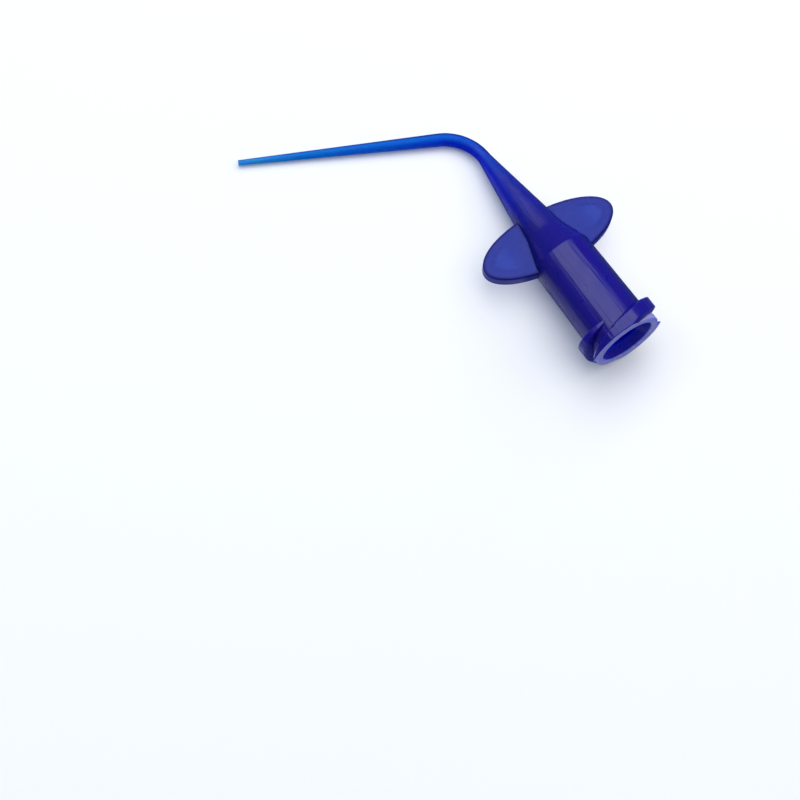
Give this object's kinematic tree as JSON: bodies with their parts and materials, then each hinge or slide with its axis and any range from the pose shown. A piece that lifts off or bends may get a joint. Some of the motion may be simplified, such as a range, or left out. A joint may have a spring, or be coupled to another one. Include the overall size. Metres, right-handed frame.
{
  "type": "saliva ejector tip",
  "caption": "Pre-bent micro suction tip: female Luer lock hub with outside thread, flat oval finger wings, tapering nozzle and a fine bent cannula, moulded in one piece.",
  "frame": {"origin": "centre of the mouth face, on the hub axis", "axes": "+X along the hub axis from the mouth towards the nozzle, +Y to the side the cannula bends to, +Z square to the plane of the bend"},
  "size_m": [0.035, 0.028, 0.0078],
  "materials": {
    "hub": "translucent polypropylene, deep indigo where the wall is thick",
    "nozzle": "translucent polypropylene, indigo to blue",
    "wing": "translucent polypropylene, lighter blue because the plate is thin",
    "tube": "translucent polypropylene, bright blue in the thin tube",
    "tip": "translucent polypropylene, lightest blue at the outlet"
  },
  "bodies": {
    "root": {"socket": "hub", "mouth_rim": "hub", "thread_a": "hub", "thread_b": "hub", "shoulder": "nozzle", "nozzle": "nozzle", "wing_left": "wing", "wing_right": "wing", "elbow": "tube", "cannula": "tube", "outlet": "tip"}
  },
  "joints": []
}
